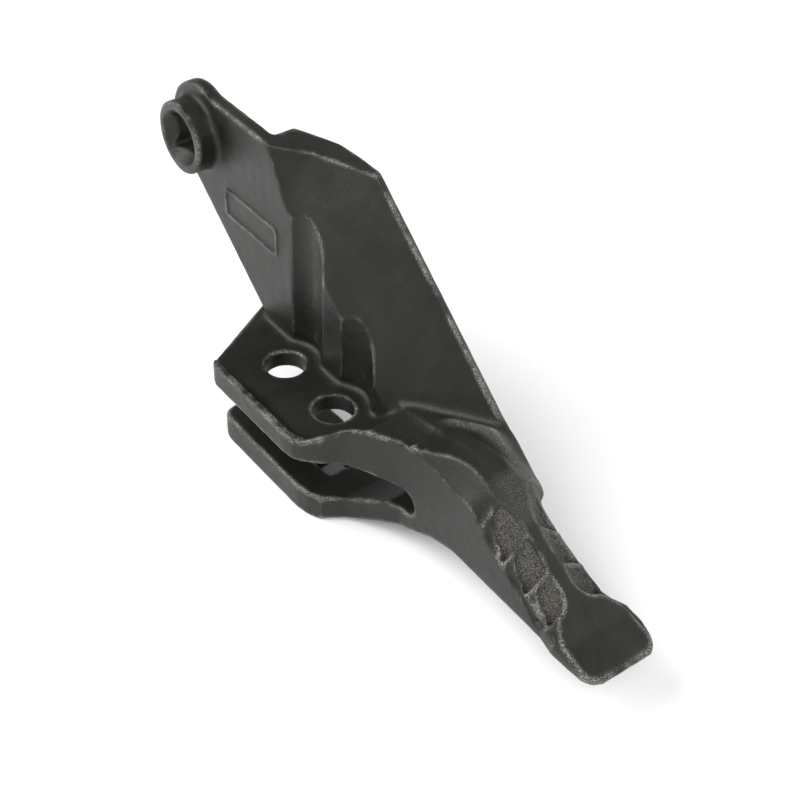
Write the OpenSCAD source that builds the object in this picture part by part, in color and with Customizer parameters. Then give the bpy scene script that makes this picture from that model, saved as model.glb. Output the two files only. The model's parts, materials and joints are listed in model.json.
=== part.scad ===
// Bolt-on side cutter tooth for an excavator bucket, one steel casting.
// X runs forward to the tip, Z up along the two lip bolts, Y outward to the bucket's side plate.
// The origin is on the face that sits on the bucket's lip plate, midway between the lip bolts.

/* [Lip bolts] */
// Diameter of the two holes in the upper ear
bolt_d = 23; // [19:0.5:24]
// Distance between the two lip bolts
bolt_pitch = 47.7; // [44:0.1:50]
// Side of the square holes in the lower ear, which hold the bolts' necks
neck_w = 21; // [16:0.5:22]
// Radius kept clear around each bolt for a socket
socket_r = 21.3; // [20:0.1:22]

/* [Fork] */
// Gap between the ears, for the lip plate
slot_h = 25; // [22:0.5:27]
// Thickness of the upper ear at the bolts
upper_ear_t = 11.5; // [9:0.5:13]
// Thickness of the lower ear
lower_ear_t = 17; // [13:0.5:20]
// How far the upper ear reaches inward from the bolt line
upper_ear_in = 36.3; // [32:0.1:38]
// How far the lower ear reaches inward from the bolt line
lower_ear_in = 30.5; // [26:0.1:33]
// How far the lower ear reaches outward from the bolt line
lower_ear_out = 23.5; // [20:0.1:26]
// Height of the rim along the upper ear's free edge
rim_h = 3; // [1:0.5:4]

/* [Wing] */
// Height of the wing above the lip plate
wing_h = 132; // [124:1:136]
// Lean of the wing's edges, measured from the lip plate
lean = 39.5; // [38:0.5:41]
// Thickness of the wing behind its shoulder
plate_t = 9.4; // [8:0.2:12]
// Distance from the bolt line to the wing's inner face
wing_y = 15.3; // [14:0.1:16]
// Step of the shoulder that covers the side plate's front edge
shoulder_step = 13.4; // [10:0.2:14]

/* [Eye boss] */
// Diameter of the boss around the top bolt
boss_d = 44; // [40:1:48]
// Length of the boss, from the wing's inner face
boss_l = 14; // [8:0.5:16]
// Diameter of the countersink for the plow bolt's head
sink_d = 34.6; // [32:0.2:38]
// Side of the square hole
square_w = 22; // [18:0.5:23]

/* [Tooth] */
// Width of the tooth at its root
root_w = 38; // [34:0.5:40]
// Width of the flat tip
tip_w = 47; // [42:0.5:50]
// Thickness of the tip's front edge
tip_t = 3.5; // [2:0.5:5]
// Width of the spine between the grip steps
spine_w = 9; // [8:0.5:14]
// Distance from one grip step to the next
grip_pitch = 17.8; // [17:0.1:18.2]
// Fall of each grip step toward the tip
grip_fall = 39; // [36:1:41]

/* [Hidden] */

$fn = 64;
eps = 0.05;
far_away = 400;

// Fork
ear_back = -47;
ear_skew = 0.57;
plate_far = wing_y + plate_t;
ear_far = plate_far - 0.5;
bolt_xs = [-bolt_pitch / 2, bolt_pitch / 2];
lower_z = -slot_h - lower_ear_t;
ramp_x = 44.8;
ramp_top = [66.5, 29.7];
rim_w = 5;
throat_r = 7.5;
throat_x = 90.5;

// Wing: s is the distance along X, read on the lip plane along the wing's lean
run = 1 / tan(lean);
s_back = -52.6;
s_fold = 78;
s_shoulder = 90.4;
s_edge = 159.2;
edge_y = 46.5;
front_far = 50.8;
bevel_slope = (edge_y - wing_y) / (s_edge - s_fold);
fold_turn = 28.7;
fold_top_x = -60.8;

// Eye
eye_x = -133;
eye_z = 105;
eye_plate_r = 29.5;

// Tooth
tooth_y = 19.5;
tip_x = 243.5;
keel_z = -13;
edge_top_z = keel_z + 4.6;
grip_x = 152.5;
grip_top = 36.6;
grip_tilt = 34;
spine_fall = 32.8;
spine_bend = 37.5;

// An outline in X and Z, made into a plate between two Y planes
module plate_xz(y0, y1) {
    translate([0, y1, 0])
        rotate([90, 0, 0])
            linear_extrude(height = y1 - y0)
                children();
}

// An outline in X and Y, made into a slab between two heights
module slab_xy(z0, z1) {
    translate([0, 0, z0])
        linear_extrude(height = z1 - z0)
            children();
}

// A bar along the wing's lean, from an outline of s and Y
module lean_bar(points) {
    rotate([0, lean - 90, 0])
        translate([0, 0, -far_away])
            linear_extrude(height = 2 * far_away)
                polygon([for (p = points) [p[0] * sin(lean), p[1]]]);
}

// Inner side of the neck, shared by both ears
neck_side = [[47.3, -25.4], [51.5, -19.5], [56, -14.6], [66.4, -9.2], [86.7, -0.7], [131, 1]];

module upper_plan() {
    corner = 5;
    polygon(concat(
        [
            [ear_back + corner, -upper_ear_in], [28.2, -upper_ear_in],
            [34.5, -35.4], [39.5, -32.6]
        ],
        neck_side,
        [
            [131, ear_far], [ear_back - (upper_ear_in + ear_far) * ear_skew, ear_far],
            [ear_back - corner * ear_skew, corner - upper_ear_in],
            [ear_back + 1, 1.5 - upper_ear_in]
        ]
    ));
}

module lower_plan() {
    polygon(concat(
        [
            [-48, -21], [-46.5, -26.5], [-43.5, -29.5], [-39, -lower_ear_in],
            [31, -lower_ear_in], [39, -29]
        ],
        neck_side,
        [
            [131, 38], [90, 38], [52, lower_ear_out], [-42, lower_ear_out],
            [-48, lower_ear_out - 6]
        ]
    ));
}

module rim_profile() {
    crest_z = upper_ear_t + rim_h;
    polygon([
        [-100, -eps], [-100, crest_z], [39, crest_z], [55.4, 25.6], ramp_top, [85.7, 31.9],
        [131, 34.5], [131, keel_z], [throat_x, keel_z], [throat_x, -eps]
    ]);
}

// The seat for the bolt heads, below the rim, and the ramp in front of it
module dish() {
    intersection() {
        slab_xy(0, 60)
            polygon([
                [-120, rim_w - upper_ear_in], [27, rim_w - upper_ear_in], [33, -30.2],
                [37.5, -27.3], [44.5, -21], [50.5, -13.2], [67, -5], [67, 60], [-120, 60]
            ]);
        plate_xz(-60, 61)
            polygon([
                [-130, upper_ear_t], [ramp_x, upper_ear_t], ramp_top, [ramp_top[0], 70],
                [-130, 70]
            ]);
    }
}

module lower_profile() {
    polygon([
        [-100, lower_z], [44, lower_z], [54, -40], [64, -36.6], [76, -31.8], [88, -28],
        [97, -24.2], [113.3, -17.3], [130.7, keel_z], [130.7, eps], [-100, eps]
    ]);
}

module slot() {
    plate_xz(-60, 60) {
        polygon([
            [-120, 0], [-120, -slot_h], [54, -slot_h], [78, -2 * throat_r - 0.5],
            [throat_x, -2 * throat_r], [throat_x, 0]
        ]);
        translate([throat_x, -throat_r])
            circle(r = throat_r);
    }
}

module fork() {
    difference() {
        intersection() {
            slab_xy(-15, 60) upper_plan();
            plate_xz(-60, 60) rim_profile();
        }
        dish();
    }
    intersection() {
        slab_xy(-60, 1) lower_plan();
        plate_xz(-60, 60) lower_profile();
    }
}

// Room for a socket on each lip bolt
module socket_room() {
    for (x = bolt_xs)
        translate([x, 0, upper_ear_t])
            cylinder(r = socket_r, h = 200);
}

// The wing's outline seen from the side
module wing_outline() {
    back_turn = 270 - lean;
    polygon(concat(
        [
            [s_back + 2 * run, -2], [88, -2], [128, 2], [140, 8], [140, 40],
            [26, wing_h - 3], [18, wing_h]
        ],
        [
            for (i = [0:24])
                let (a = 67 + (back_turn - 69) * i / 24)
                [eye_x + eye_plate_r * cos(a), eye_z + eye_plate_r * sin(a)]
        ]
    ));
}

module wing() {
    difference() {
        intersection() {
            plate_xz(0, 60)
                wing_outline();
            lean_bar([
                [-150, wing_y], [s_edge, wing_y], [s_edge, edge_y], [s_edge - 3.8, front_far],
                [135, front_far], [119, 49.6], [97, 41.2],
                [s_shoulder, plate_far + shoulder_step], [s_shoulder, plate_far],
                [-150, plate_far]
            ]);
        }
        bevel_room();
    }
}

// What the wing's inner side gives up to its bevel, which begins at a fold
module bevel_room() {
    past = 30;
    intersection() {
        lean_bar([
            [s_fold, wing_y], [s_edge + past, edge_y + past * bevel_slope],
            [s_edge + past, -60], [s_fold, -60]
        ]);
        translate([fold_top_x, wing_y, wing_h])
            rotate([0, -fold_turn, 0])
                rotate([0, 0, 42])
                    translate([0, -far_away, -far_away])
                        cube([far_away, far_away, 2 * far_away]);
    }
}

module eye_boss() {
    translate([eye_x, wing_y + 1, eye_z])
        rotate([90, 0, 0])
            cylinder(d = boss_d, h = boss_l + 1);
}

module eye_hole() {
    sink_angle = 41;
    sink_l = (sink_d - square_w) / 2 / tan(sink_angle);
    translate([eye_x, wing_y - boss_l, eye_z])
        rotate([-90, 0, 0]) {
            cylinder(d1 = sink_d, d2 = square_w, h = sink_l);
            translate([-square_w / 2, -square_w / 2, eps])
                cube([square_w, square_w, 60]);
        }
}

module tooth_plan() {
    near_root = tooth_y - root_w / 2;
    far_root = tooth_y + root_w / 2;
    near_tip = tooth_y - tip_w / 2 + 0.5;
    far_tip = tooth_y + tip_w / 2 + 2.5;
    polygon([
        [92, near_root], [131, near_root], [203, near_root - 1.5], [213, near_tip],
        [tip_x - 8, near_tip], [tip_x - 2.6, near_tip + 2.6], [tip_x, near_tip + 8],
        [tip_x, far_tip - 9], [tip_x - 3, far_tip - 5.5], [tip_x - 9, far_tip - 2],
        [tip_x - 17, far_tip], [215, far_tip], [211, far_tip - 2], [204, far_root + 0.5], [165, far_root - 1],
        [152, far_root - 0.5], [141, far_root + 1], [92, far_root + 1]
    ]);
}

module tooth_profile() {
    polygon([
        [92, keel_z - 3], [131, keel_z], [215, keel_z], [235, keel_z + 1],
        [tip_x, edge_top_z - tip_t], [tip_x - 0.5, edge_top_z], [221, -2.6],
        [grip_x + spine_bend, grip_top - spine_bend * tan(spine_fall)], [grip_x, grip_top],
        [143, 40.9], [131, 42], [92, 34]
    ]);
}

// Room above a face that falls toward the tip from one point and tilts down toward -Y
module falling_face(from, fall, long) {
    reach = 45;
    translate(from)
        rotate([0, fall, 0])
            rotate([90, 0, 90])
                linear_extrude(height = long)
                    polygon([
                        [0, 0], [-reach, -reach * tan(grip_tilt)], [-reach, 30], [1, 30]
                    ]);
}

// What one side's slope and its three grip steps take away, each step deeper toward the tip
module grip_cuts() {
    start = [grip_x, tooth_y - spine_w / 2, grip_top];
    falling_face(start, spine_fall, 3.05 * grip_pitch / cos(spine_fall));
    for (i = [0:2])
        falling_face(start + [grip_pitch * i, 0, -grip_pitch * i * tan(spine_fall)], grip_fall,
                     grip_pitch * 1.17);
}

module tooth() {
    intersection() {
        slab_xy(-60, 60) tooth_plan();
        plate_xz(-60, 60) tooth_profile();
    }
}

// The fork and the tooth, with the facets behind the grip steps
module shank() {
    difference() {
        union() {
            fork();
            tooth();
        }
        falling_face([98, 0, 34.3], 9, 48);
        grip_cuts();
        translate([0, 2 * tooth_y, 0])
            mirror([0, 1, 0]) {
                grip_cuts();
                falling_face([96, 12, 38.5], -3, 56);
            }
    }
}

module side_cutter_casting() {
    color([0.09, 0.09, 0.09])
        difference() {
            union() {
                difference() {
                    union() {
                        shank();
                        wing();
                    }
                    socket_room();
                }
                eye_boss();
            }
            slot();
            for (x = bolt_xs) {
                translate([x, 0, -slot_h / 2])
                    cylinder(d = bolt_d, h = 60);
                translate([x - neck_w / 2, -neck_w / 2, lower_z - 1])
                    cube([neck_w, neck_w, lower_ear_t + 10]);
            }
            eye_hole();
        }
}

side_cutter_casting();
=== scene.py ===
"""A bolt-on side cutter of an excavator bucket: one black painted sand casting.

The CAD node is a plain solid with sharp edges. Here it is turned into a distance field, which gets
the fillets, rounded edges, grips and sand texture of a casting, and comes back as one fine mesh.
Lengths inside the field are in millimetres, everything else is in metres, in the CAD's own frame.
"""

import copy
import json
import math

import bpy
import numpy as np
import openvdb
from mathutils import Matrix, Vector


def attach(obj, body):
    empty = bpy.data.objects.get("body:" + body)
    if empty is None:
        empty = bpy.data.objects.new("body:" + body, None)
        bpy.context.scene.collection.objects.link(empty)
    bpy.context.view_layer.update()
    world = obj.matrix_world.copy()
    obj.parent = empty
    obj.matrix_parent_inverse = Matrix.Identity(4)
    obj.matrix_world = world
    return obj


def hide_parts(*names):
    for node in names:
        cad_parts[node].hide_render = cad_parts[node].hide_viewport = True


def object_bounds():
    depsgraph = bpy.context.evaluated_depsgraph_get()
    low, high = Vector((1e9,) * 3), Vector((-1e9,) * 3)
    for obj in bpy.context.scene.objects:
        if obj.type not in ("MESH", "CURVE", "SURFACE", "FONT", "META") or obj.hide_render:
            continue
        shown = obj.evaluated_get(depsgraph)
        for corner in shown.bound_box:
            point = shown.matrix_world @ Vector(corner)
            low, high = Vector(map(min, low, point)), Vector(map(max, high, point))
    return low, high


MM = 0.001
NODE = "side_cutter_casting"

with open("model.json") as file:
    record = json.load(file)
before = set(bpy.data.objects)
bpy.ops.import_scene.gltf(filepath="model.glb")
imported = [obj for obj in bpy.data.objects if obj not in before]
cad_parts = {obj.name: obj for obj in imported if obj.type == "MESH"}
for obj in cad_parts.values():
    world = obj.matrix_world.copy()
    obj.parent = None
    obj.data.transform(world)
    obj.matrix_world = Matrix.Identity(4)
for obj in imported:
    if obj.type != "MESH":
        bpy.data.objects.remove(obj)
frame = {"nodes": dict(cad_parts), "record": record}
cad_box = [list(corner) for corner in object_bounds()]
scene = bpy.context.scene

# ---------------------------------------------------------------- driving sizes, in millimetres

VOXEL = 1.0
BAND = 6  # voxels on each side of the surface in which distances are kept
MARGIN = 8.0  # room around the casting in the field

bores = [m for m in frame["record"]["mounts"] if m["kind"] == "bore"]
bolt_xs = sorted(m["pos_m"][0] / MM for m in bores)
bolt_r = bores[0]["dims"]["r_mm"]
eye = next(m for m in frame["record"]["mounts"] if m["name"] == "eye_bolt")
eye_x, eye_y, eye_z = [c / MM for c in eye["pos_m"]]

LEAN = math.radians(39.5)  # of the wing's edges, from the lip plate
WING_Y = 15.3  # of the wing's plate face
BEVEL_START = 78.0  # where the wing's bevel starts, as a distance along the lip plate
BEVEL_SLOPE = 0.384  # how fast the bevel moves away from the plate face
WING_FRONT = 159.2  # where the wing's front edge would meet the lip plate
BLANK_X, BLANK_Z, BLANK_W, BLANK_H = -79.8, 72.0, 52.5, 17.0  # the blank frame on that face

# ---------------------------------------------------------------- camera, light and floor

CAMERA_AZIMUTH = math.radians(52.0)
CAMERA_ELEVATION = math.radians(40.42)
CAMERA_ROLL = math.radians(1.84)
CAMERA_DISTANCE = 0.846
CAMERA_AIM = Vector((0.0204, 0.0102, -0.0114))  # from the middle of the casting's box
CAMERA_LENS = 71.25
SENSOR = 36.0

FLOOR_HALF = 6.0  # metres
FLOOR_WHITE = (0.9, 0.9, 0.9, 1)
WORLD_STRENGTH = 0.4
SOFTBOXES = {  # place, target, size in metres, power in watts
    "key": ((-0.7, -0.9, 1.1), (0, 0, 0), (1.3, 1.3), 27),
    "fill": ((1.1, -0.5, 0.9), (0.1, 0, 0), (1.2, 1.2), 16),
    "back": ((0.6, 1.3, 0.9), (0.1, 0.1, 0), (1.2, 1.2), 9),
}


def aim_matrix(azimuth, elevation, roll):
    """The rotation of a camera that looks down at that azimuth and elevation."""
    right = Vector((math.cos(azimuth), math.sin(azimuth), 0))
    forward = Vector((-math.sin(azimuth) * math.cos(elevation),
                      math.cos(azimuth) * math.cos(elevation), -math.sin(elevation)))
    up = right.cross(forward)
    rolled_right = right * math.cos(roll) + up * math.sin(roll)
    rolled_up = up * math.cos(roll) - right * math.sin(roll)
    return Matrix((rolled_right, rolled_up, -forward)).transposed()


def add_camera(middle):
    camera = bpy.data.objects.new("camera", bpy.data.cameras.new("camera"))
    scene.collection.objects.link(camera)
    turn = aim_matrix(CAMERA_AZIMUTH, CAMERA_ELEVATION, CAMERA_ROLL)
    backward = turn @ Vector((0, 0, 1))
    camera.matrix_world = Matrix.LocRotScale(
        middle + CAMERA_AIM + backward * CAMERA_DISTANCE, turn.to_quaternion(), None)
    camera.data.sensor_width = SENSOR
    camera.data.lens = CAMERA_LENS
    camera.data.clip_start = 0.01
    scene.camera = camera


def add_softbox(name, place, target, size, power):
    light = bpy.data.objects.new(name, bpy.data.lights.new(name, "AREA"))
    light.data.shape = "RECTANGLE"
    light.data.size = size[0]
    light.data.size_y = size[1]
    light.data.energy = power
    light.location = place
    light.rotation_euler = (Vector(target) - Vector(place)).to_track_quat("-Z", "Y").to_euler()
    light.visible_camera = False
    scene.collection.objects.link(light)


def add_floor(height):
    mesh = bpy.data.meshes.new("floor")
    signs = (-1, -1), (1, -1), (1, 1), (-1, 1)
    corners = [(a * FLOOR_HALF, b * FLOOR_HALF, height) for a, b in signs]
    mesh.from_pydata(corners, [], [(0, 1, 2, 3)])
    floor = bpy.data.objects.new("floor", mesh)
    scene.collection.objects.link(floor)
    material = bpy.data.materials.new("pale_floor")
    material.use_nodes = True
    shader = material.node_tree.nodes["Principled BSDF"]
    shader.inputs["Base Color"].default_value = FLOOR_WHITE
    shader.inputs["Roughness"].default_value = 0.9
    shader.inputs["Specular IOR Level"].default_value = 0.1
    mesh.materials.append(material)


def add_world(strength):
    world = bpy.data.worlds.new("studio")
    world.use_nodes = True
    background = world.node_tree.nodes["Background"]
    background.inputs["Color"].default_value = (1, 1, 1, 1)
    background.inputs["Strength"].default_value = strength
    scene.world = world


low, high = [Vector(corner) for corner in cad_box]
middle = (low + high) / 2
add_camera(middle)
add_world(WORLD_STRENGTH)
add_floor(low.z)
for light_name, settings in SOFTBOXES.items():
    add_softbox(light_name, *settings)
scene.view_settings.view_transform = "Standard"

# ---------------------------------------------------------------- the distance field


def triangles_of(obj):
    mesh = obj.data
    mesh.calc_loop_triangles()
    points = np.empty(len(mesh.vertices) * 3, np.float32)
    mesh.vertices.foreach_get("co", points)
    corners = np.empty(len(mesh.loop_triangles) * 3, np.int32)
    mesh.loop_triangles.foreach_get("vertices", corners)
    return points.reshape(-1, 3) / MM, corners.reshape(-1, 3)


class Field:
    """Distances to the casting's surface, in millimetres, on a grid. Negative is inside."""

    def __init__(self, obj):
        points, corners = triangles_of(obj)
        self.low = np.floor((points.min(0) - MARGIN) / VOXEL).astype(int)
        high = np.ceil((points.max(0) + MARGIN) / VOXEL).astype(int)
        transform = openvdb.createLinearTransform(voxelSize=VOXEL)
        grid = openvdb.FloatGrid.createLevelSetFromPolygons(
            points, triangles=corners, transform=transform, halfWidth=BAND)
        self.d = np.empty(high - self.low + 1, np.float32)
        grid.copyToArray(self.d, ijk=tuple(int(i) for i in self.low))

    def axes(self, part=None):
        """X, Y and Z of the grid's points, shaped to spread over the grid or over a part of it."""
        spans = part or tuple(slice(0, n) for n in self.d.shape)
        x, y, z = [(np.arange(s.start, s.stop) + o) * VOXEL for s, o in zip(spans, self.low)]
        return x[:, None, None], y[None, :, None], z[None, None, :]

    def part(self, box_low, box_high):
        """The slices of the grid that hold a box."""
        starts = [max(int(math.floor(a / VOXEL)) - o, 0) for a, o in zip(box_low, self.low)]
        stops = [min(int(math.ceil(b / VOXEL)) - o + 1, n)
                 for b, o, n in zip(box_high, self.low, self.d.shape)]
        return tuple(slice(a, b) for a, b in zip(starts, stops))

    def at(self, points):
        """Distances at any points, by trilinear interpolation."""
        g = points / VOXEL - self.low
        base = np.clip(np.floor(g).astype(int), 0, np.array(self.d.shape) - 2)
        f = g - base
        total = np.zeros(len(points), np.float32)
        for i in (0, 1):
            for j in (0, 1):
                for k in (0, 1):
                    weight = (f[:, 0] if i else 1 - f[:, 0]) * (f[:, 1] if j else 1 - f[:, 1])
                    weight = weight * (f[:, 2] if k else 1 - f[:, 2])
                    total += weight * self.d[base[:, 0] + i, base[:, 1] + j, base[:, 2] + k]
        return total

    def slope(self, points, step=0.7):
        """The unit direction in which the distance grows."""
        out = np.empty_like(points)
        for axis in range(3):
            shift = np.zeros(3)
            shift[axis] = step * VOXEL
            out[:, axis] = self.at(points + shift) - self.at(points - shift)
        return out / np.maximum(np.linalg.norm(out, axis=1, keepdims=True), 1e-6)

    def surface(self):
        """The points and four-sided faces of the surface where the distance is zero."""
        grid = openvdb.FloatGrid(background=BAND * VOXEL)
        grid.copyFromArray(self.d, ijk=tuple(int(i) for i in self.low))
        grid.transform = openvdb.createLinearTransform(voxelSize=VOXEL)
        points, quads = grid.convertToQuads(isovalue=0.0)
        points = np.array(points, np.float64)
        for _ in range(2):
            reach = 0.4 * VOXEL
            points -= self.slope(points) * np.clip(self.at(points), -reach, reach)[:, None]
        return points, np.array(quads)


def blurred(values, sigma):
    """A Gaussian blur, with sigma in millimetres."""
    reach = max(int(math.ceil(2.5 * sigma / VOXEL)), 1)
    offsets = np.arange(-reach, reach + 1)
    weights = np.exp(-0.5 * (offsets * VOXEL / sigma) ** 2)
    weights = (weights / weights.sum()).astype(np.float32)
    for axis in range(3):
        padding = [(reach, reach) if a == axis else (0, 0) for a in range(3)]
        padded = np.pad(values, padding, mode="edge")
        values = sum(w * np.take(padded, range(i, i + values.shape[axis]), axis=axis)
                     for i, w in enumerate(weights))
    return values


def soft_step(value, start, stop):
    t = np.clip((value - start) / (stop - start), 0, 1)
    return t * t * (3 - 2 * t)


def soft_min(a, b, blend):
    """The smaller of two distances, with a round of about that size where they cross."""
    h = np.clip(0.5 + 0.5 * (b - a) / blend, 0, 1)
    return b + (a - b) * h - blend * h * (1 - h)


def curve(value, points):
    """A smooth curve through a few points, given as (place, height)."""
    places, heights = [np.array(column, float) for column in zip(*points)]
    slopes = np.gradient(heights, places)
    value = np.clip(value, places[0], places[-1])
    i = np.clip(np.searchsorted(places, value, side="right") - 1, 0, len(places) - 2)
    span = places[i + 1] - places[i]
    t = (value - places[i]) / span
    start = heights[i] * (1 + 2 * t) + slopes[i] * span * t
    stop = heights[i + 1] * (3 - 2 * t) - slopes[i + 1] * span * (1 - t)
    return start * (1 - t) ** 2 + stop * t ** 2


# ---------------------------------------------------------------- the top of the shank and tooth

SPINE_Y = 19.5  # the middle of the tooth
HALF_WIDTH = 19.0  # of the tooth at its root
SPINE_TOP = [(60, 28.4), (66.5, 29.7), (97, 36), (128, 42.4), (152, 36.8), (172, 23.7), (190, 12.4),
             (206, 4.2), (224, -2.8), (243.5, -8.8)]  # heights along the middle
WALL_TOP = [(92, 37.2), (110, 33.4), (127, 29.3), (143, 28.6), (154, 20), (167, 12.2), (189, 3.4),
            (212, -3.4), (243.5, -8.8)]  # heights along the near wall
SPINE_HALF = [(92, 19), (102, 17.8), (120, 11), (137, 9), (151, 9.5), (160, 5.6), (172, 4.2),
              (188, 5), (202, 6.5), (213, 19), (220, 22)]  # half the width of the spine's flat
GRIPS = [152.5, 170.0, 188.0, 206.5]  # where each grip begins, and where the last one ends
GRIP_DEPTH = 7.4
GRIP_RIM = 2.8  # the strip left standing outside each grip
LIP_RISE = 1.2  # of the lips between the grips
HORN_RISE = 3.2  # of the horn at the first grip
RIDGE = [(84, 27.4), (98, 33.2), (111, 38.6), (131, 36.4)]  # x and y along the wing's foot
RIDGE_RISE, RIDGE_WIDTH = 2.2, 1.7
HOLLOW = (119.0, 31.0)  # the middle of the hollow between that ridge and the spine
HOLLOW_DEPTH = 2.4
HOLLOW_REACH = (13, 3.4)
RAMP_END = 66  # where the plain ramp gives way to the shaped top

WEB_X = (58, 151)  # the web from the wing's foot into the far side of the tooth
WEB_Y = (19, 49.0)
WEB_FRONT = (0.298, 0.882, 0.362, 91.4)  # a plane through the wing's front edge, along the view
WEB_INTO_WING = 4  # how far the web goes into the wing's thickness
WEB_BLEND = 3.0

BLANK_CORNER = 3  # the blank frame's corner radius
BLANK_BEAD = 1.15  # the radius of its bead


def far_fall(x, y):
    """How much lower the top is toward the wing than at the spine."""
    steep = 0.15 + 0.65 * soft_step(x, 112, 142)
    return steep * np.clip(y - 27, 0, None) * (1 - soft_step(x, 146, 153))


def grip_depth(x, side):
    """The depth of the grip recesses, from the distance to the tooth's middle line."""
    edge = curve(x, SPINE_HALF)
    depth = 0 * x + 0 * side
    for start, stop in zip(GRIPS[:-1], GRIPS[1:]):
        u = np.clip((x - start) / (stop - start), 0, 1)
        inside = soft_step(u, 0.02, 0.14) * (1 - soft_step(u, 0.86, 0.97))
        thumb = np.sqrt(np.clip(u * 2.4, 0, 1))
        rim = GRIP_RIM * (1 - soft_step(u, 0.7, 0.95))
        outer = edge + (HALF_WIDTH - rim - edge) * (0.45 + 0.55 * thumb)
        across = soft_step(side, edge, edge + 1.8) * (1 - soft_step(side, outer - 2.2, outer))
        depth = depth + (0.42 + 0.58 * u) * inside * across
    return GRIP_DEPTH * depth


def grip_crests(x, side):
    """The raised lips between the grips, and the horn where the first one begins."""
    edge = curve(x, SPINE_HALF)
    outside = soft_step(side, edge + 1, edge + 3)
    lips = sum(np.exp(-((x - start) / 1.3) ** 2) for start in GRIPS[1:3])
    horn = np.exp(-((x - GRIPS[0]) / 1.8) ** 2) * soft_step(side, 10, 14)
    return LIP_RISE * lips * outside + HORN_RISE * horn


def ridge_height(x, y):
    """The low rough ridge at the foot of the wing, and the hollow between it and the spine."""
    off_ridge = y - curve(x, RIDGE)
    length = soft_step(x, 80, 92) * (1 - soft_step(x, 122, 134))
    ridge = RIDGE_RISE * length * np.exp(-0.5 * (off_ridge / RIDGE_WIDTH) ** 2)
    along, across = (x - HOLLOW[0]) / HOLLOW_REACH[0], (y - HOLLOW[1]) / HOLLOW_REACH[1]
    return ridge - HOLLOW_DEPTH * np.exp(-along ** 2 - across ** 2)


def top_height(x, y):
    """The height of the shank's and the tooth's top face."""
    side = np.abs(y - SPINE_Y)
    edge = curve(x, SPINE_HALF)
    spine = curve(x, SPINE_TOP)
    wall = curve(x, WALL_TOP)
    flanked = ((y < SPINE_Y) | (x > 150)) & (x > 92)
    t = np.clip((side - edge) / np.maximum(HALF_WIDTH - edge, 0.5), 0, 1.3)
    flank = np.where(flanked, (spine - wall) * t, 0)
    plain = spine - flank - far_fall(x, y)
    return plain - grip_depth(x, side) + grip_crests(x, side) + ridge_height(x, y)


def bevel_y(x, z):
    """Where the wing's bevelled near face lies."""
    return WING_Y + BEVEL_SLOPE * (x + z / math.tan(LEAN) - BEVEL_START)


def wing_side(x, y, z):
    """Negative inside the wing's bevelled body."""
    front = (x + z / math.tan(LEAN) - WING_FRONT) * math.sin(LEAN)
    return np.maximum(bevel_y(x, z) - y, front) + 0.3


def shape_top(field):
    """Replaces the plain top of the shank and tooth by its real one."""
    part = field.part((42, -12, -8), (250, 58, 60))
    x, y, z = field.axes(part)
    d = field.d[part]
    height = top_height(x[:, :, 0], y[:, :, 0])
    run = np.gradient(height, VOXEL)
    steep = np.sqrt(1 + np.minimum(run[0] ** 2 + run[1] ** 2, 4))
    top = (z - height[:, :, None]) / steep[:, :, None]
    ends = np.maximum(100 - x, x - 208)
    block = np.maximum(np.maximum(np.abs(y - SPINE_Y) - HALF_WIDTH, ends), -4 - z)
    filled = np.maximum(block, top)
    d = np.minimum(d, filled)
    open_above = np.minimum(top, wing_side(x, y, z))
    beyond_ramp = (x - RAMP_END) + 0 * y + 0 * z
    d = np.maximum(d, np.minimum(open_above, beyond_ramp))
    field.d[part] = soft_min(d, np.maximum(far_web(x, y, z), top), WEB_BLEND)


def far_web(x, y, z):
    """The web that carries the foot of the wing into the far side of the tooth."""
    ends = np.maximum(WEB_X[0] - x, x - WEB_X[1])
    front = WEB_FRONT[0] * x + WEB_FRONT[1] * y + WEB_FRONT[2] * z - WEB_FRONT[3]
    far_side = SPINE_Y + HALF_WIDTH
    under = (10 + 1.6 * np.clip(y - far_side, 0, None) - z) * 0.53
    sides = np.maximum(WEB_Y[0] - y, y - np.minimum(WEB_Y[1], bevel_y(x, z) + WEB_INTO_WING))
    return np.maximum(np.maximum(ends, front), np.maximum(under, sides))


def add_blank(field):
    """A fine raised frame on the wing's rear plate, left blank."""
    part = field.part((-110, 6, 20), (0, 20, 110))
    x, y, z = field.axes(part)
    u = np.abs(x - BLANK_X) - BLANK_W / 2 + BLANK_CORNER
    v = np.abs(z - BLANK_Z) - BLANK_H / 2 + BLANK_CORNER
    corner = np.sqrt(np.maximum(u, 0) ** 2 + np.maximum(v, 0) ** 2)
    outline = np.abs(corner + np.minimum(np.maximum(u, v), 0) - BLANK_CORNER)
    bead = np.hypot(outline, y - WING_Y) - BLANK_BEAD
    field.d[part] = soft_min(field.d[part], bead, 0.8)


def cast_fillets(field):
    """Fills the inner corners and rounds the outer edges, but leaves the machined holes alone."""
    sharp = field.d
    x, y, z = field.axes()
    soft = blurred(sharp, 0.75)
    filled = blurred(sharp, 1.9)
    near_hole = np.minimum(*[np.hypot(x - c, y + 0 * z) for c in bolt_xs])
    near_eye = np.hypot(x - eye_x, z - eye_z) + 0 * y
    keep_out = soft_step(near_hole, bolt_r + 3, bolt_r + 6) * soft_step(near_eye, 19, 24)
    above_slot = soft_step(z, -3, 3)
    off_grips = 1 - 0.85 * soft_step(x, 144, 150)
    amount = keep_out * above_slot * off_grips
    field.d = np.minimum(soft, soft + (filled - soft) * amount).astype(np.float32)


def sand_relief(points, seed, size):
    """Smooth random bumps of about that size, between -1 and 1, at the given points."""
    random = np.random.default_rng(seed)
    total = np.zeros(len(points))
    for _ in range(24):
        direction = random.normal(size=3)
        direction /= np.linalg.norm(direction)
        total += np.sin(points @ direction * (2 * math.pi / size) + random.uniform(0, 2 * math.pi))
    return np.clip(total / 6, -1, 1)


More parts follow.
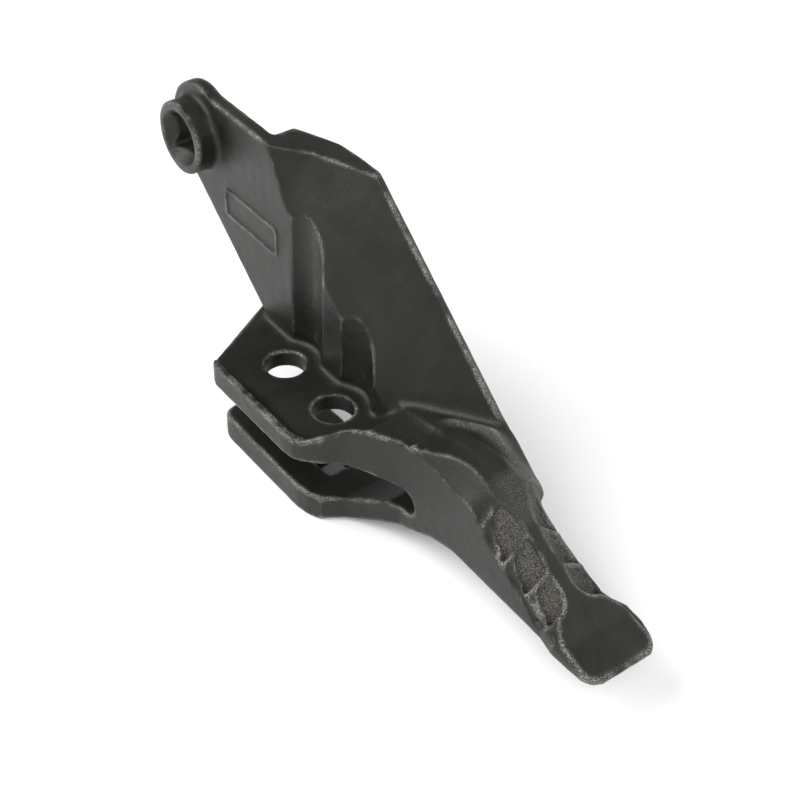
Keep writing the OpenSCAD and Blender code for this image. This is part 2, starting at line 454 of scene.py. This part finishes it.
def rough_zone(points):
    """How rough the surface is: up to 1 in the grips and at the wing's foot, 0 elsewhere."""
    x, y, z = points.T
    side = np.abs(y - SPINE_Y)
    grips = soft_step(grip_depth(x, side), 1.0, 2.6) * (z > top_height(x, y) - 3)
    foot = np.exp(-((y - curve(x, RIDGE)) / 4.0) ** 2)
    foot = foot * soft_step(x, 84, 94) * (1 - soft_step(x, 150, 158)) * soft_step(z, 20, 26)
    crown = soft_step(x, 138, 146) * (1 - soft_step(x, 163, 172))
    crown = crown * soft_step(z, 24, 30) * soft_step(y, 6, 20) * 0.4
    return np.clip(grips + foot + crown, 0, 1)


def worn_and_highlit_edges(field, points):
    """How sharp a convex edge is at each point, where paint wears first and where the painted edge
    highlight goes: 0 to 1.
    """
    wide = copy.copy(field)
    wide.d = blurred(field.d, 1.4)
    return np.clip((wide.at(points) - field.at(points) - 0.13) / 0.25, 0, 1)


def mesh_object(name, points, faces):
    mesh = bpy.data.meshes.new(name)
    mesh.vertices.add(len(points))
    mesh.vertices.foreach_set("co", (points * MM).astype(np.float32).ravel())
    mesh.loops.add(faces.size)
    mesh.loops.foreach_set("vertex_index", faces.astype(np.int32).ravel())
    mesh.polygons.add(len(faces))
    mesh.polygons.foreach_set("loop_start", np.arange(0, faces.size, 4, dtype=np.int32))
    mesh.update(calc_edges=True)
    mesh.validate()
    mesh.shade_smooth()
    piece = bpy.data.objects.new(name, mesh)
    scene.collection.objects.link(piece)
    return piece


# ---------------------------------------------------------------- materials


def node(tree, kind, **settings):
    made = tree.nodes.new(kind)
    for name, value in settings.items():
        setattr(made, name, value)
    return made


def noise(tree, coordinates, scale, detail, roughness=0.6):
    made = node(tree, "ShaderNodeTexNoise")
    made.inputs["Scale"].default_value = scale
    made.inputs["Detail"].default_value = detail
    made.inputs["Roughness"].default_value = roughness
    tree.links.new(coordinates, made.inputs["Vector"])
    return made.outputs["Fac"]


def ramped(tree, value, start, stop, low_value=0.0, high_value=1.0):
    made = node(tree, "ShaderNodeMapRange", interpolation_type="SMOOTHSTEP")
    for name, number in (("From Min", start), ("From Max", stop),
                         ("To Min", low_value), ("To Max", high_value)):
        made.inputs[name].default_value = number
    tree.links.new(value, made.inputs["Value"])
    return made.outputs["Result"]


def math_node(tree, operation, a, b):
    """A Math node. A sum is kept at 1 or below."""
    made = node(tree, "ShaderNodeMath", operation=operation, use_clamp=operation == "ADD")
    for socket, value in zip(made.inputs, (a, b)):
        if isinstance(value, (int, float)):
            socket.default_value = value
        else:
            tree.links.new(value, socket)
    return made.outputs[0]


def mixed(tree, amount, a, b):
    made = node(tree, "ShaderNodeMix", data_type="RGBA")
    tree.links.new(amount, made.inputs["Factor"])
    for name, value in (("A", a), ("B", b)):
        socket = next(i for i in made.inputs if i.name == name and i.type == "RGBA")
        if isinstance(value, tuple):
            socket.default_value = value
        else:
            tree.links.new(value, socket)
    return next(o for o in made.outputs if o.type == "RGBA")


PAINT = (0.0046, 0.0045, 0.0032, 1)
PAINT_THIN = (0.0085, 0.0080, 0.0052, 1)  # where the paint is thin over the sand skin
SAND_SKIN = (0.135, 0.128, 0.108, 1)  # the grains that stand through the paint
BARE_EDGE_AND_HIGHLIGHT = (0.26, 0.25, 0.22, 1)  # steel where the paint is rubbed off, made light so it is also a painted highlight along the sharp edges


def painted_casting():
    """Thin satin black paint over a sand-cast skin, rubbed through on the edges, with a painted
    highlight along them.
    """
    material = bpy.data.materials.new("painted_casting")
    material.use_nodes = True
    tree = material.node_tree
    shader = tree.nodes["Principled BSDF"]
    place = node(tree, "ShaderNodeTexCoord").outputs["Object"]
    rough = node(tree, "ShaderNodeAttribute", attribute_name="rough").outputs["Fac"]
    # the wear attribute lays both rubbed-off paint and a painted edge highlight
    wear_and_highlight = node(tree, "ShaderNodeAttribute", attribute_name="wear_and_highlight").outputs["Fac"]
    clouds = noise(tree, place, 28, 3)
    grain = noise(tree, place, 900, 3, 0.7)
    specks = noise(tree, place, 2100, 2, 0.5)
    scuffs = noise(tree, place, 1500, 4, 0.75)

    paint = mixed(tree, ramped(tree, clouds, 0.38, 0.66), PAINT, PAINT_THIN)
    through = math_node(tree, "MULTIPLY", ramped(tree, specks, 0.42, 0.62), rough)
    few = math_node(tree, "MULTIPLY", ramped(tree, specks, 0.66, 0.74),
                    ramped(tree, clouds, 0.45, 0.7))
    sandy = mixed(tree, math_node(tree, "ADD", through, few), paint, SAND_SKIN)
    patches = ramped(tree, noise(tree, place, 60, 3), 0.36, 0.6)
    # light colour on sharp edges: partly real rubbed-off paint, partly a painted highlight
    wear_and_highlight_patches = math_node(tree, "MULTIPLY", wear_and_highlight, patches)
    rubbed_and_highlit = math_node(tree, "MULTIPLY", wear_and_highlight_patches, ramped(tree, scuffs, 0.46, 0.58))
    tree.links.new(mixed(tree, rubbed_and_highlit, sandy, BARE_EDGE_AND_HIGHLIGHT), shader.inputs["Base Color"])

    gloss = math_node(tree, "ADD", ramped(tree, clouds, 0.3, 0.7, 0.36, 0.46),
                      math_node(tree, "MULTIPLY", rough, 0.12))
    tree.links.new(gloss, shader.inputs["Roughness"])
    shader.inputs["IOR"].default_value = 1.42

    coarseness = math_node(tree, "ADD", math_node(tree, "MULTIPLY", rough, 0.7), 0.3)
    depth = math_node(tree, "MULTIPLY", grain, coarseness)
    bump = node(tree, "ShaderNodeBump")
    bump.inputs["Strength"].default_value = 1.0
    bump.inputs["Distance"].default_value = 0.0009
    tree.links.new(depth, bump.inputs["Height"])
    tree.links.new(bump.outputs["Normal"], shader.inputs["Normal"])
    return material


# ---------------------------------------------------------------- the casting

field = Field(frame["nodes"][NODE])
shape_top(field)
cast_fillets(field)
add_blank(field)
points, quads = field.surface()
zone = rough_zone(points)
grain_relief = 0.12 * sand_relief(points, 3, 2.6) * zone
wave_relief = 0.06 * sand_relief(points, 5, 9.0)
inset = 0.1 - (grain_relief + wave_relief)  # keeps the relief inside the CAD's box
casting = mesh_object("casting", points - field.slope(points) * inset[:, None], quads)
# the wear mask also marks where the painted edge highlight goes
for name, values in (("rough", zone), ("wear_and_highlight", worn_and_highlit_edges(field, points))):
    attribute = casting.data.attributes.new(name, "FLOAT", "POINT")
    attribute.data.foreach_set("value", np.asarray(values, np.float32))
casting.data.materials.append(painted_casting())
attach(casting, "root")
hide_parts(NODE)
